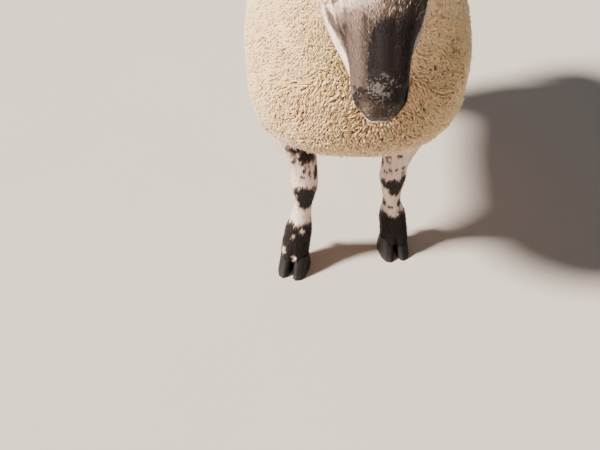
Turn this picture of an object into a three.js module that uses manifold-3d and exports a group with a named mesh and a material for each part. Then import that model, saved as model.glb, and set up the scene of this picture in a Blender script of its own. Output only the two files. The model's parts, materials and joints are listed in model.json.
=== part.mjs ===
// A Kerry Hill ewe at life size, standing with her left forefoot a little behind the right one and her head
// held up and forward.
// Units are millimetres. +Z is up, the ewe faces -Y and her left side is +X. The floor is Z = 0.
// Every solid is the outer form: where there is fleece it reaches to the tips of the wool.

import * as THREE from "three";
import { mergeVertices } from "three/addons/utils/BufferGeometryUtils.js";
import Module from "manifold-3d";

const wasm = await Module();
wasm.setup();

// ---------------------------------------------------------------- driving sizes

const SEAM = 0.35; // gap between two neighbouring solids
const LEFT = 1;
const RIGHT = -1;
const UP = new THREE.Vector3(0, 0, 1);

const HEAD_LENGTH = 244; // upper lip to back of the skull
const FACE_SLOPE = THREE.MathUtils.degToRad(37); // of the nose below level
const NOSE = { y: -355, z: 678 }; // front of the upper lip

const EYE = { along: 150, out: 50.5, up: 27, radius: 14.5 }; // in the head's own frame

// An ear is a leaf rolled round its own length: rolled far at the root, and opening towards the tip.
const EAR = {
  along: 198, out: 44, up: 38, // its root, in the head's own frame
  length: 112, width: 60, thickness: 5,
  rootRoll: 250, tipRoll: 85, // degrees of a circle that the leaf goes round
  buried: 0.12, // share of its length inside the skull
  hollow: 6, // how far its middle bows back
};

const KNEE_HEIGHT = 212;
const HOCK_HEIGHT = 258;
const FORE_Y = 66; // the knee, fore and aft
const HIND_Y = 604; // the hock
const TOE_TRACK = 107; // from her middle to a foot that stands square
const QUARTERS_LEFT = 15; // her back bends a little, so that her quarters stand to her left

// Each foot: how far it is set back, how far out from her middle it stands, how much further out its leg
// starts at the top, and how far its toes turn out.
const STANCE = {
  fore_left: { side: LEFT, step: 43, out: 105, lean: -2, toeOut: 11 },
  fore_right: { side: RIGHT, step: -14, out: 111, lean: 15, toeOut: 16 },
  hind_left: { side: LEFT, step: -12, out: 107, lean: 0, toeOut: 9 },
  hind_right: { side: RIGHT, step: 14, out: 107, lean: 0, toeOut: 9 },
};

const LEAN = { from: 260, to: 410 }; // heights between which a leg comes to lean out in full
const SPREAD_HEIGHT = 100; // below it a foot stands further out or in than the leg above
const STEP_HEIGHT = 400; // below it a leg swings forward or back

// A claw narrows and its toe slopes back as it rises. The shares are of its length or width at the sole.
const CLAW = {
  length: 76, width: 32, height: 44, heel: 24, cleft: 3,
  behind: 0.42, ahead: 0.58, toeSlope: 0.36, narrowing: 0.12, outerShare: 0.62, innerShare: 0.38,
};
const DEWCLAW = { out: 13, back: 25, height: 76, halfSizes: [8, 9, 12] };
const CORONET = { fore: -16, hind: -26, height: 20 }; // fore and aft of the knee or hock

// ---------------------------------------------------------------- making solids

/** A closed manifold-3d solid of a three.js geometry, facing outwards, with its skin moved out by grow. */
function solid(geometry, grow = 0) {
  const bare = geometry.clone();
  bare.deleteAttribute("normal");
  bare.deleteAttribute("uv");
  const merged = mergeVertices(bare, 1e-4);
  const build = () => new wasm.Manifold(
    new wasm.Mesh({
      numProp: 3,
      vertProperties: new Float32Array(merged.attributes.position.array),
      triVerts: new Uint32Array(merged.index.array),
    }),
  );
  if (build().volume() < 0) turnOver(merged.index.array);
  if (grow) moveOut(merged, grow);
  return build();
}

/** Turns every face round. */
function turnOver(index) {
  for (let i = 0; i < index.length; i += 3) {
    [index[i + 1], index[i + 2]] = [index[i + 2], index[i + 1]];
  }
}

/** Moves every vertex along its normal. */
function moveOut(geometry, distance) {
  geometry.computeVertexNormals();
  const { position, normal } = geometry.attributes;
  for (let i = 0; i < position.count; i++) {
    const point = new THREE.Vector3().fromBufferAttribute(position, i);
    point.addScaledVector(new THREE.Vector3().fromBufferAttribute(normal, i), distance);
    position.setXYZ(i, point.x, point.y, point.z);
  }
}

/** The three.js geometry of a manifold-3d solid. */
function geometryOf(body) {
  const mesh = body.getMesh();
  const geometry = new THREE.BufferGeometry();
  geometry.setAttribute("position", new THREE.BufferAttribute(mesh.vertProperties, 3));
  geometry.setIndex(new THREE.BufferAttribute(mesh.triVerts, 1));
  geometry.computeVertexNormals();
  return geometry;
}

/** Skins closed rings of equally many points, and closes both ends with a fan. */
function skinRings(rings, grow = 0) {
  const count = rings[0].length;
  const points = rings.flat();
  const faces = [];
  for (let r = 0; r + 1 < rings.length; r++) {
    for (let i = 0; i < count; i++) {
      const a = r * count + i;
      const b = r * count + ((i + 1) % count);
      faces.push(a, b, a + count, b, b + count, a + count);
    }
  }
  for (const [start, turned] of [[0, true], [(rings.length - 1) * count, false]]) {
    const middle = points.slice(start, start + count)
      .reduce((sum, p) => sum.add(p), new THREE.Vector3())
      .divideScalar(count);
    points.push(middle);
    for (let i = 0; i < count; i++) {
      const a = start + i;
      const b = start + ((i + 1) % count);
      faces.push(points.length - 1, turned ? b : a, turned ? a : b);
    }
  }
  const geometry = new THREE.BufferGeometry().setFromPoints(points);
  geometry.setIndex(faces);
  return solid(geometry, grow);
}

/** Smooth values between rows of numbers: Catmull-Rom through every row. */
function between(rows, t) {
  const place = Math.min(t * (rows.length - 1), rows.length - 1 - 1e-9);
  const k = Math.floor(place);
  const u = place - k;
  const row = (i) => rows[Math.max(0, Math.min(rows.length - 1, i))];
  return rows[0].map((_, c) => {
    const [p, q, r, s] = [row(k - 1)[c], row(k)[c], row(k + 1)[c], row(k + 2)[c]];
    const bend = 2 * p - 5 * q + 4 * r - s;
    const lift = 3 * q - p - 3 * r + s;
    return q + 0.5 * u * (r - p + u * (bend + u * lift));
  });
}

/**
 * A body part: rounded sections along a spine in the plane of symmetry or beside it.
 * Each station is [x, y, z, half width, reach to the front or top, reach to the back or bottom].
 * powers are those of the front or top half and of the other half: 2 for an ellipse, more for a squarer
 * section. grow makes it larger all over.
 */
function limb(stations, { steps, sides, powers = [2.2, 2.2], grow = 0 }) {
  const at = (t) => between(stations, t);
  const spot = (t) => new THREE.Vector3(...at(t).slice(0, 3));
  const rings = [];
  for (let i = 0; i <= steps; i++) {
    const t = i / steps;
    const [x, y, z, half, fore, aft] = at(t);
    const along = spot(Math.min(1, t + 0.01)).sub(spot(Math.max(0, t - 0.01))).normalize();
    const front = new THREE.Vector3(1, 0, 0).cross(along).normalize();
    const side = along.clone().cross(front);
    const middle = new THREE.Vector3(x, y, z);
    const ring = [];
    for (let k = 0; k < sides; k++) {
      const turn = (2 * Math.PI * k) / sides;
      const [reach, power] = Math.sin(turn) > 0 ? [fore, powers[0]] : [aft, powers[1]];
      const round = (v) => Math.sign(v) * Math.abs(v) ** (2 / power);
      ring.push(
        middle.clone()
          .addScaledVector(side, half * round(Math.cos(turn)))
          .addScaledVector(front, reach * round(Math.sin(turn))),
      );
    }
    rings.push(ring);
  }
  return skinRings(rings, grow);
}

/** An egg: a sphere stretched to three half sizes and set in place. */
function egg(middle, [a, b, c], grow = 0, detail = 12) {
  const ball = new THREE.SphereGeometry(1, detail * 2, detail);
  ball.scale(a, b, c);
  ball.translate(...middle);
  return solid(ball, grow);
}

const joined = (...bodies) => bodies.reduce((sum, body) => sum.add(body));
const largest = (body) => body.decompose().sort((a, b) => b.volume() - a.volume())[0];

/** Parts a solid with a thin level cut, and gives the upper and the lower piece. */
function partedAt(body, height) {
  const blade = new THREE.BoxGeometry(400, 400, SEAM);
  const box = body.boundingBox();
  blade.translate((box.min[0] + box.max[0]) / 2, (box.min[1] + box.max[1]) / 2, height);
  const pieces = body.subtract(solid(blade)).decompose();
  const over = (piece) => piece.boundingBox().min[2] > height;
  const most = (list) => list.sort((a, b) => b.volume() - a.volume())[0];
  return [most(pieces.filter(over)), most(pieces.filter((piece) => !over(piece)))];
}

// ---------------------------------------------------------------- trunk, neck and tail

/** The barrel from breast to rump. The first number is how much of the bend a station has. */
function trunk(grow = 0) {
  const stations = [
    [0, -141, 507, 24, 26, 24],
    [0, -132, 507, 82, 80, 68],
    [0, -102, 507, 138, 128, 101],
    [0, -42, 507, 181, 174, 147],
    [0, 50, 508, 202, 196, 181],
    [0.3, 165, 508, 210, 200, 192],
    [0.6, 295, 506, 213, 199, 190],
    [0.9, 415, 511, 212, 196, 174],
    [1, 515, 519, 203, 184, 160],
    [1, 595, 524, 181, 160, 148],
    [1, 650, 528, 130, 118, 116],
    [1, 672, 528, 30, 30, 30],
  ].map(([bend, ...rest]) => [bend * QUARTERS_LEFT, ...rest]);
  return limb(stations, { steps: 19, sides: 28, powers: [2.0, 2.25], grow });
}

/** The woolled neck, from inside the shoulders to the back of the jaws and skull. */
function neck(grow = 0) {
  const stations = [
    [0, 80, 545, 172, 160, 146],
    [0, 20, 606, 160, 156, 134],
    [0, -34, 664, 134, 132, 117],
    [0, -82, 716, 108, 110, 102],
    [0, -122, 752, 90, 92, 94],
    [0, -158, 772, 81, 85, 91],
    [0, -190, 781, 77, 83, 86],
    [0, -207, 784, 70, 77, 79],
    [0, -215, 785, 50, 56, 56],
    [0, -217, 785, 16, 18, 18],
  ];
  return limb(stations, { steps: 14, sides: 24, powers: [2.15, 2.15], grow });
}

/** A docked tail that hangs close to the rump. */
function tail() {
  const stations = [
    [600, 650, 30, 28, 28],
    [654, 634, 40, 27, 30],
    [683, 590, 42, 26, 30],
    [694, 534, 39, 25, 28],
    [694, 488, 30, 20, 22],
    [690, 468, 10, 8, 8],
  ].map((row) => [QUARTERS_LEFT, ...row]);
  return limb(stations, { steps: 8, sides: 10 });
}

// ---------------------------------------------------------------- head

/** From the head's own frame, along the face, out and up from its middle line, to the part's frame. */
function headPoint(along, out, up) {
  return [
    out,
    NOSE.y + along * Math.cos(FACE_SLOPE) - up * Math.sin(FACE_SLOPE),
    NOSE.z + along * Math.sin(FACE_SLOPE) + up * Math.cos(FACE_SLOPE),
  ];
}

/** Stations given as [along, up, half width, rise, drop], set in the part's frame. */
const headStations = (rows) => rows.map(([along, up, ...sizes]) => [...headPoint(along, 0, up), ...sizes]);

/** Muzzle, face, cheeks and skull, without the lower jaw. */
function skull(grow = 0) {
  const rows = [
    [-9, -10, 10, 8, 10],
    [-5, -9, 20, 17, 17],
    [8, -3, 31, 28, 24],
    [34, 4, 38, 33, 28],
    [70, 9, 42, 37, 33],
    [102, 12, 51, 42, 37],
    [130, 14, 59, 48, 42],
    [158, 15, 63, 54, 48],
    [186, 13, 62, 58, 54],
    [210, 8, 57, 57, 56],
    [232, 1, 45, 48, 48],
    [HEAD_LENGTH, -2, 18, 20, 22],
  ];
  const form = limb(headStations(rows), { steps: 18, sides: 20, powers: [2.35, 2.35], grow });
  const orbits = [LEFT, RIGHT].map((side) =>
    egg(headPoint(EYE.along + 3, side * (EYE.out - 10), EYE.up + 1), [20, 26, 25], grow, 6),
  );
  return joined(form, ...orbits);
}

/** The lower jaw, from the chin to the angle under the cheek. */
function lowerJaw(grow = 0) {
  const rows = [
    [-4, -31, 10, 7, 7],
    [2, -31, 18, 11, 11],
    [20, -31, 26, 12, 12],
    [45, -31, 32, 14, 13],
    [73, -33, 42, 16, 16],
    [100, -37, 54, 20, 19],
    [130, -41, 66, 24, 23],
    [160, -41, 72, 28, 27],
    [190, -38, 67, 26, 26],
    [212, -32, 30, 14, 14],
  ];
  return limb(headStations(rows), { steps: 12, sides: 14, powers: [2.3, 2.3], grow });
}

const eyeBall = (side, grow = 0) =>
  egg(headPoint(EYE.along, side * EYE.out, EYE.up), Array(3).fill(EYE.radius), grow, 7);

/** A leaf of even thickness, rolled at its root and opening towards the tip. */
function ear(side) {
  const root = new THREE.Vector3(...headPoint(EAR.along, side * EAR.out, EAR.up));
  const outward = new THREE.Vector3(side * 0.84, 0.14, 0.52).normalize();
  const mouth = new THREE.Vector3(side * 0.15, -0.93, -0.12);
  mouth.addScaledVector(outward, -mouth.dot(outward)).normalize();
  const across = outward.clone().cross(mouth);
  const rings = [];
  const rows = 8;
  const points = 7;
  for (let r = 0; r <= rows; r++) {
    const t = r / rows;
    const belly = 0.72 + 0.45 * Math.sin(Math.PI * Math.min(1, t * 1.15));
    const point = Math.sqrt(1 - t ** 3.2);
    const wide = EAR.width * belly * point + 4;
    const opened = Math.min(1, t * 1.6);
    const roll = THREE.MathUtils.degToRad(THREE.MathUtils.lerp(EAR.rootRoll, EAR.tipRoll, opened));
    const radius = wide / roll;
    const centre = root.clone()
      .addScaledVector(outward, (t - EAR.buried) * EAR.length)
      .addScaledVector(mouth, radius * 0.9 - EAR.hollow * Math.sin(Math.PI * t));
    const edge = (gap, k) => {
      const turn = roll * (k / (points - 1) - 0.5);
      return centre.clone()
        .addScaledVector(across, (radius + gap) * Math.sin(turn))
        .addScaledVector(mouth, -(radius + gap) * Math.cos(turn));
    };
    const half = EAR.thickness / 2;
    const ring = [];
    for (let k = 0; k < points; k++) ring.push(edge(half, k));
    for (let k = points - 1; k >= 0; k--) ring.push(edge(-half, k));
    rings.push(ring);
  }
  return skinRings(rings);
}

// ---------------------------------------------------------------- legs and feet

/** From 0 below one height to 1 above another. */
const rise = (z, low, high) => THREE.MathUtils.clamp((z - low) / (high - low), 0, 1);

/** A station of a leg that stands straight, with its y counted from the knee or hock, set in its own stance. */
function stanceStation([x, y, z, ...sizes], foot) {
  const spread = (foot.out - TOE_TRACK) * (1 - rise(z, 0, SPREAD_HEIGHT));
  const out = x + foot.lean * rise(z, LEAN.from, LEAN.to) + spread;
  const swing = foot.step * (1 - rise(z, 0, STEP_HEIGHT));
  return [foot.side * out + foot.shift, foot.y + y + swing, z, ...sizes];
}

const legStations = (rows, foot) => rows.map((row) => stanceStation(row, foot));

function foreleg(foot) {
  const rows = [
    [112, 20, 470, 60, 62, 70],
    [117, 22, 415, 60, 58, 66],
    [112, 18, 362, 53, 48, 56],
    [101, 8, 308, 39, 37, 41],
    [92, 1, 260, 28, 29, 29],
    [90, -1, 230, 27, 29, 25],
    [90, -1, KNEE_HEIGHT, 28, 29, 25],
    [91, 2, 186, 23, 24, 23],
    [93, 5, 154, 19, 19, 21],
    [96, 8, 120, 21, 20, 23],
    [100, 10, 92, 29, 25, 29],
    [104, 2, 66, 30, 26, 28],
    [107, -9, 42, 31, 28, 30],
    [108, -16, 26, 29, 27, 29],
  ];
  return limb(legStations(rows, foot), { steps: 18, sides: 12 });
}

function hindleg(foot) {
  const rows = [
    [96, -60, 590, 56, 78, 54],
    [104, -58, 525, 80, 110, 82],
    [113, -54, 455, 82, 114, 90],
    [117, -44, 400, 66, 92, 76],
    [112, -28, 350, 47, 60, 52],
    [105, -12, 310, 31, 38, 34],
    [102, 1, 274, 27, 30, 38],
    [100, 5, 240, 24, 26, 31],
    [100, 4, 200, 21, 21, 24],
    [100, 2, 160, 19, 19, 22],
    [101, 0, 122, 20, 20, 23],
    [103, 1, 96, 26, 25, 28],
    [105, -8, 66, 28, 26, 27],
    [107, -18, 42, 30, 28, 29],
    [108, -26, 26, 28, 26, 28],
  ];
  return limb(legStations(rows, foot), { steps: 18, sides: 12 });
}

/** The four feet: where the middle of each coronet stands when carried down to the floor, and its turn. */
const FEET = Object.entries(STANCE).map(([name, stance]) => {
  const fore = name.startsWith("fore");
  const foot = { ...stance, name, fore, y: fore ? FORE_Y : HIND_Y, shift: fore ? 0 : QUARTERS_LEFT };
  const [x, y] = stanceStation([TOE_TRACK, fore ? CORONET.fore : CORONET.hind, CORONET.height], foot);
  const turn = foot.side * THREE.MathUtils.degToRad(foot.toeOut);
  return { ...foot, coronet: new THREE.Vector3(x, y, 0), turn };
});

/**
 * One claw of a cloven hoof, with a flat sole on the floor.
 * hand is +1 for the claw on the foot's +X side. Level outlines narrow and move back as they rise.
 */
function claw(foot, hand, grow = 0) {
  const levels = 3;
  const around = 12;
  const rings = [];
  for (let r = 0; r <= levels; r++) {
    const t = r / levels;
    const back = CLAW.length * CLAW.behind;
    const front = CLAW.length * (CLAW.ahead - CLAW.toeSlope * t);
    const wide = CLAW.width * (1 - CLAW.narrowing * t);
    const height = t * CLAW.height;
    const ring = [];
    for (let k = 0; k < around; k++) {
      const turn = (2 * Math.PI * k) / around;
      const [c, s] = [Math.cos(turn), Math.sin(turn)];
      const out = wide * (c > 0 ? CLAW.outerShare : CLAW.innerShare);
      const reach = s > 0 ? back : front;
      const point = new THREE.Vector3(
        hand * (CLAW.cleft / 2 + wide * CLAW.innerShare + out * Math.sign(c) * Math.abs(c) ** 0.8),
        reach * Math.sign(s) * Math.abs(s) ** 0.85,
        height - t * (CLAW.height - CLAW.heel) * Math.max(0, s),
      );
      point.applyAxisAngle(UP, foot.turn);
      ring.push(point.add(foot.coronet));
    }
    rings.push(ring);
  }
  return skinRings(rings, grow);
}

/** A dewclaw, behind and above the hoof. hand is as for a claw. */
function dewclaw(foot, hand) {
  const pastern = stanceStation([102, foot.fore ? 5 : -5, DEWCLAW.height], foot);
  const place = new THREE.Vector3(hand * DEWCLAW.out, DEWCLAW.back, 0).applyAxisAngle(UP, foot.turn);
  return egg(place.add(new THREE.Vector3(...pastern)).toArray(), DEWCLAW.halfSizes, 0, 4);
}

// ---------------------------------------------------------------- materials

const finish = (color, roughness) =>
  new THREE.MeshStandardMaterial({ color, roughness, metalness: 0 });
const FLEECE = finish(0xe2cfb4, 0.95);
const WHITE_HAIR = finish(0xd9d2c8, 0.8);
const FACE_HAIR = finish(0x5a5250, 0.7);
const HORN = finish(0x3c3836, 0.55);
const EYE_GLOSS = finish(0x3a2412, 0.1);

// ---------------------------------------------------------------- the ewe

const ewe = new THREE.Group();

function place(name, body, material) {
  const mesh = new THREE.Mesh(geometryOf(largest(body)), material);
  mesh.name = name;
  ewe.add(mesh);
}

const bulk = trunk(SEAM);
const collar = neck(SEAM);
const sockets = joined(eyeBall(LEFT, SEAM), eyeBall(RIGHT, SEAM));
const face = skull(SEAM);

place("trunk", trunk(), FLEECE);
place("neck", neck().subtract(bulk), FLEECE);
place("tail", tail().subtract(bulk), FLEECE);
place("head", skull().subtract(collar).subtract(sockets), FACE_HAIR);
place("lower_jaw", lowerJaw().subtract(face).subtract(collar), WHITE_HAIR);

for (const [side, word] of [[LEFT, "left"], [RIGHT, "right"]]) {
  place(`eye_${word}`, eyeBall(side), EYE_GLOSS);
  place(`ear_${word}`, ear(side).subtract(face).subtract(collar), FACE_HAIR);
}

for (const foot of FEET) {
  const hands = [[1, foot.side > 0 ? "outer" : "inner"], [-1, foot.side > 0 ? "inner" : "outer"]];
  const horn = joined(...hands.map(([hand]) => claw(foot, hand, SEAM)));
  const whole = (foot.fore ? foreleg(foot) : hindleg(foot)).subtract(bulk).subtract(horn);
  const [upper, lower] = partedAt(whole, foot.fore ? KNEE_HEIGHT : HOCK_HEIGHT);
  place(`${foot.name}_upper_leg`, upper, foot.fore ? WHITE_HAIR : FLEECE);
  place(`${foot.name}_lower_leg`, lower, WHITE_HAIR);
  for (const [hand, word] of hands) {
    place(`${foot.name}_hoof_${word}`, claw(foot, hand), HORN);
    place(`${foot.name}_dewclaw_${word}`, dewclaw(foot, hand).subtract(lower), HORN);
  }
}

// The origin is on the floor under the middle of the whole ewe.
const middle = new THREE.Box3().setFromObject(ewe).getCenter(new THREE.Vector3());
ewe.position.set(-middle.x, -middle.y, 0);

export default ewe;
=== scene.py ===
"""A Kerry Hill ewe at life size: skin, fleece, hair, eyes and hooves over her solid form, in a plain studio.

All lengths are metres. The ewe faces -Y with her left side at +X, and stands on the floor at Z = 0.
"""

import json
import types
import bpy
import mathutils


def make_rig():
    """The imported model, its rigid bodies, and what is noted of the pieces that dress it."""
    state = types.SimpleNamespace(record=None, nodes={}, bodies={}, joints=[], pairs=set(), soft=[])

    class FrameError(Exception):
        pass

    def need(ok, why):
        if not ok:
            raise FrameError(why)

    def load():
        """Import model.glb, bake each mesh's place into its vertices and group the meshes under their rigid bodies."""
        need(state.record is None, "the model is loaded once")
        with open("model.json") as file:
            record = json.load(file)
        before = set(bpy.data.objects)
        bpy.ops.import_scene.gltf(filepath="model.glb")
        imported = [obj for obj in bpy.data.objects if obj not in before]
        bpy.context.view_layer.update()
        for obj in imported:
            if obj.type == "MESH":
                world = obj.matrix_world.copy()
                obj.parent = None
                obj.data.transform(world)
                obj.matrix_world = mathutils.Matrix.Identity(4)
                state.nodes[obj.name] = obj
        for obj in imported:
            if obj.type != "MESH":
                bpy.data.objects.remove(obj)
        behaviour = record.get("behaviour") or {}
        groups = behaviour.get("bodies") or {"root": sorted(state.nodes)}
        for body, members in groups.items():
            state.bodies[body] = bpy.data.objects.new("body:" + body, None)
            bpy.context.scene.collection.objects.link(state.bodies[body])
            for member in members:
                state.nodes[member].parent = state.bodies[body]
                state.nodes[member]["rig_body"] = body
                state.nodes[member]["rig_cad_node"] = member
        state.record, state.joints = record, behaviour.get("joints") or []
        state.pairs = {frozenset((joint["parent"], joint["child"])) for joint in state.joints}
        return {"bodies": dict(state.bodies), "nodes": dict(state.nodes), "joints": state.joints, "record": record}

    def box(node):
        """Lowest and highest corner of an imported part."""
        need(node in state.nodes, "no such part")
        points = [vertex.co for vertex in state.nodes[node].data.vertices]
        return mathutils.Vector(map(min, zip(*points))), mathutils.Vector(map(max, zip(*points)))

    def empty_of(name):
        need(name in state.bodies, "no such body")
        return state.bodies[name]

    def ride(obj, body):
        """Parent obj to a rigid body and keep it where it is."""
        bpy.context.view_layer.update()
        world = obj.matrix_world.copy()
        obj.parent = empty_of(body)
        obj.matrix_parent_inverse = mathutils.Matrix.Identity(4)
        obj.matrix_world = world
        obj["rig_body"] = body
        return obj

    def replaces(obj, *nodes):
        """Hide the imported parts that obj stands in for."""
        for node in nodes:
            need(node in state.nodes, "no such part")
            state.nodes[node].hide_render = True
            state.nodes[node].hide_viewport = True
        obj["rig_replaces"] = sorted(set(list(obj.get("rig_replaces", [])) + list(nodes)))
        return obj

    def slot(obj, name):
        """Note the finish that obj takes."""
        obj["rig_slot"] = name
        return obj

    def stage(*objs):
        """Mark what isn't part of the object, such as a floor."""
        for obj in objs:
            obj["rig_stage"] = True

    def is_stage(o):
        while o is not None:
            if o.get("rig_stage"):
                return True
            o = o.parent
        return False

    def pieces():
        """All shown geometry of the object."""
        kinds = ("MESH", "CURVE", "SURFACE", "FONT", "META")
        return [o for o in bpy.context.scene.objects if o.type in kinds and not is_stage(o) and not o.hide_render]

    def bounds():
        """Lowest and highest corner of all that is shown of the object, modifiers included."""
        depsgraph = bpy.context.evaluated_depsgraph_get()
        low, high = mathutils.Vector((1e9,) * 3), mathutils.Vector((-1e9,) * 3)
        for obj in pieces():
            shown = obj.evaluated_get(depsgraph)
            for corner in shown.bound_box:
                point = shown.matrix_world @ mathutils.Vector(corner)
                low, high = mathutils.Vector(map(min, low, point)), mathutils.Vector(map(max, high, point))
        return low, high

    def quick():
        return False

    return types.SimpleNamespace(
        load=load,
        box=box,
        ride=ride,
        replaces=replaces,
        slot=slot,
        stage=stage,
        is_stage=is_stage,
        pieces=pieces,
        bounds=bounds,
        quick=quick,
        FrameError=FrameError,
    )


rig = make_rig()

bl_info = {
    "name": "Kerry Hill Ewe",
    "version": (1, 0, 0),
    "blender": (4, 5, 0),
    "location": "View3D > Sidebar > Ewe",
    "description": "Dresses a ewe's solid form with skin, fleece, hair, eyes and hooves",
    "category": "Object",
}

import json
import math
from functools import partial

import bmesh
import bpy
import numpy as np
from bpy.props import FloatProperty, FloatVectorProperty, IntProperty, PointerProperty
from mathutils import Matrix, Vector, noise
from mathutils.bvhtree import BVHTree
from mathutils.kdtree import KDTree

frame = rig.load()
CAD_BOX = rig.bounds()

MM = 0.001
TINY = 1e-12  # keeps a division from failing
LEFT, RIGHT = 1, -1
SIDES = ((LEFT, "left"), (RIGHT, "right"))
LEGS = ("fore_left", "fore_right", "hind_left", "hind_right")
EYEBALLS = ["eye_left", "eye_right"]
HORN = sorted(n for n in frame["nodes"] if "hoof" in n or "dewclaw" in n)
FLESH = sorted(n for n in frame["nodes"] if n not in HORN + EYEBALLS)

# ---------------- the head's own frame

FACE_SLOPE = math.radians(37)
ALONG = np.array([0, math.cos(FACE_SLOPE), math.sin(FACE_SLOPE)])  # up the face, from the lips to the poll
OUT = np.array([1.0, 0, 0])
UP = np.array([0, -math.sin(FACE_SLOPE), math.cos(FACE_SLOPE)])
EYE_ALONG, EYE_UP = 150 * MM, 27 * MM  # from the lips


def middle_of(node):
    """The middle of a node's box."""
    low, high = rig.box(node)
    return np.array((low + high) / 2)


EYES = {side: middle_of(f"eye_{word}") for side, word in SIDES}
EYE_RADIUS = (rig.box("eye_left")[1].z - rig.box("eye_left")[0].z) / 2
BETWEEN_EYES = (EYES[LEFT] + EYES[RIGHT]) / 2
LIPS = BETWEEN_EYES - EYE_ALONG * ALONG - EYE_UP * UP


def in_head(points):
    """Points given as how far along the face, out to her left, and up from its middle line."""
    return (np.asarray(points) - LIPS) @ np.stack([ALONG, OUT, UP]).T


def from_head(along, out, up):
    """A point of the head's own frame, in the ewe's."""
    return LIPS + along * ALONG + out * OUT + up * UP


# ---------------- small tools


def linear(hex_colour):
    """An sRGB hex colour as linear red, green and blue."""
    parts = [int(hex_colour[i : i + 2], 16) / 255 for i in (1, 3, 5)]
    return [c / 12.92 if c <= 0.04045 else ((c + 0.055) / 1.055) ** 2.4 for c in parts]


def colour(label, hex_colour, words):
    """A colour that the panel shows."""
    return FloatVectorProperty(
        name=label, description=words, subtype="COLOR", size=3, min=0, max=1, default=linear(hex_colour)
    )


def length(label, metres, words):
    """A length that the panel shows."""
    return FloatProperty(name=label, description=words, default=metres, min=0, unit="LENGTH", precision=4)


def number(label, value, words, low=0):
    """A plain number that the panel shows."""
    return FloatProperty(name=label, description=words, default=value, min=low)


def ramp(values, low, high):
    """From 0 at low to 1 at high, with soft ends. low may be the larger."""
    t = np.clip((values - low) / (high - low), 0, 1)
    return t * t * (3 - 2 * t)


def norm(vectors):
    """How long each vector is."""
    return np.linalg.norm(vectors, axis=-1)


def unit(vectors):
    """The same vectors at length one."""
    return vectors / np.maximum(norm(vectors), TINY)[..., None]


def roughly(points, size, seed):
    """Smooth noise from about -1 to 1, with bumps of that size."""
    shift = Vector((seed * 7.31, seed * 3.17, seed * 5.53))
    return np.array([noise.noise(Vector(p) / size + shift) for p in points]) * 1.6


def link(name, data):
    """A new object at the origin with that mesh, light or camera."""
    piece = bpy.data.objects.new(name, data)
    bpy.context.scene.collection.objects.link(piece)
    return piece


def applied(piece, kind, **settings):
    """Gives a piece a modifier and applies it to its mesh."""
    modifier = piece.modifiers.new(kind.title(), kind)
    for key, value in settings.items():
        setattr(modifier, key, value)
    graph = bpy.context.evaluated_depsgraph_get()
    made = bpy.data.meshes.new_from_object(piece.evaluated_get(graph), depsgraph=graph)
    piece.modifiers.clear()
    old = piece.data
    piece.data = made
    bpy.data.meshes.remove(old)


def mesh_from(bm, name):
    """The mesh of a bmesh, which is freed."""
    mesh = bpy.data.meshes.new(name)
    bm.to_mesh(mesh)
    bm.free()
    return mesh


def copy_of(nodes, swell=0.0):
    """One mesh of several nodes' forms, merged, and moved out a little along their normals."""
    whole = bmesh.new()
    for name in nodes:
        part = bmesh.new()
        part.from_mesh(frame["nodes"][name].data)
        bmesh.ops.remove_doubles(part, verts=part.verts, dist=0.01 * MM)
        part.normal_update()
        for vert in part.verts:
            vert.co += vert.normal * swell
        mesh = mesh_from(part, "part")
        whole.from_mesh(mesh)
        bpy.data.meshes.remove(mesh)
    return mesh_from(whole, "copy")


def table(items, key, width, kind=np.float32):
    """A property of many items, one row for each."""
    values = np.empty((len(items), width), kind)
    items.foreach_get(key, values.ravel())
    return values


def paint(mesh, name, values):
    """Keeps a number or a place for each vertex with the mesh."""
    vector = np.ndim(values) == 2
    layer = mesh.attributes.new(name, "FLOAT_VECTOR" if vector else "FLOAT", "POINT")
    layer.data.foreach_set("vector" if vector else "value", np.asarray(values, np.float32).ravel())


def read(mesh, name):
    """What the mesh keeps for each vertex under that name."""
    layer = mesh.attributes[name]
    if layer.data_type == "FLOAT_VECTOR":
        return table(layer.data, "vector", 3).astype(float)
    return table(layer.data, "value", 1)[:, 0].astype(float)


class Surface:
    """A triangle mesh as arrays."""

    def __init__(self, mesh):
        self.mesh = mesh
        mesh.calc_loop_triangles()
        self.points = table(mesh.vertices, "co", 3).astype(float)
        self.faces = table(mesh.loop_triangles, "vertices", 3, np.int32)
        self.corners = table(mesh.loop_triangles, "loops", 3, np.int32)
        self.edges = table(mesh.edges, "vertices", 2, np.int32)

    def normals(self):
        """The smooth normal at each vertex."""
        a, b, c = self.points[self.faces.T]
        flat = np.cross(b - a, c - a)
        total = np.zeros_like(self.points)
        for axis in range(3):
            for corner in self.faces.T:
                total[:, axis] += np.bincount(corner, flat[:, axis], len(total))
        return unit(total)

    def averaged(self, values, times, share=0.5):
        """Values evened out with their neighbours along the edges. share may differ from vertex to vertex."""
        a, b = self.edges.T
        count = np.maximum(np.bincount(self.edges.ravel(), minlength=len(values)), 1)
        evened = values.reshape(len(values), -1).astype(float)
        for part in evened.T:
            for _ in range(times):
                total = np.bincount(a, part[b], len(part)) + np.bincount(b, part[a], len(part))
                part += share * (total / count - part)
        return evened.reshape(values.shape)

    def smooth(self, times, share):
        """Evens out the points themselves."""
        self.points = self.averaged(self.points, times, share)

    def store(self):
        """Puts the points back into the mesh."""
        self.mesh.vertices.foreach_set("co", self.points.astype(np.float32).ravel())
        self.mesh.update()


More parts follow.
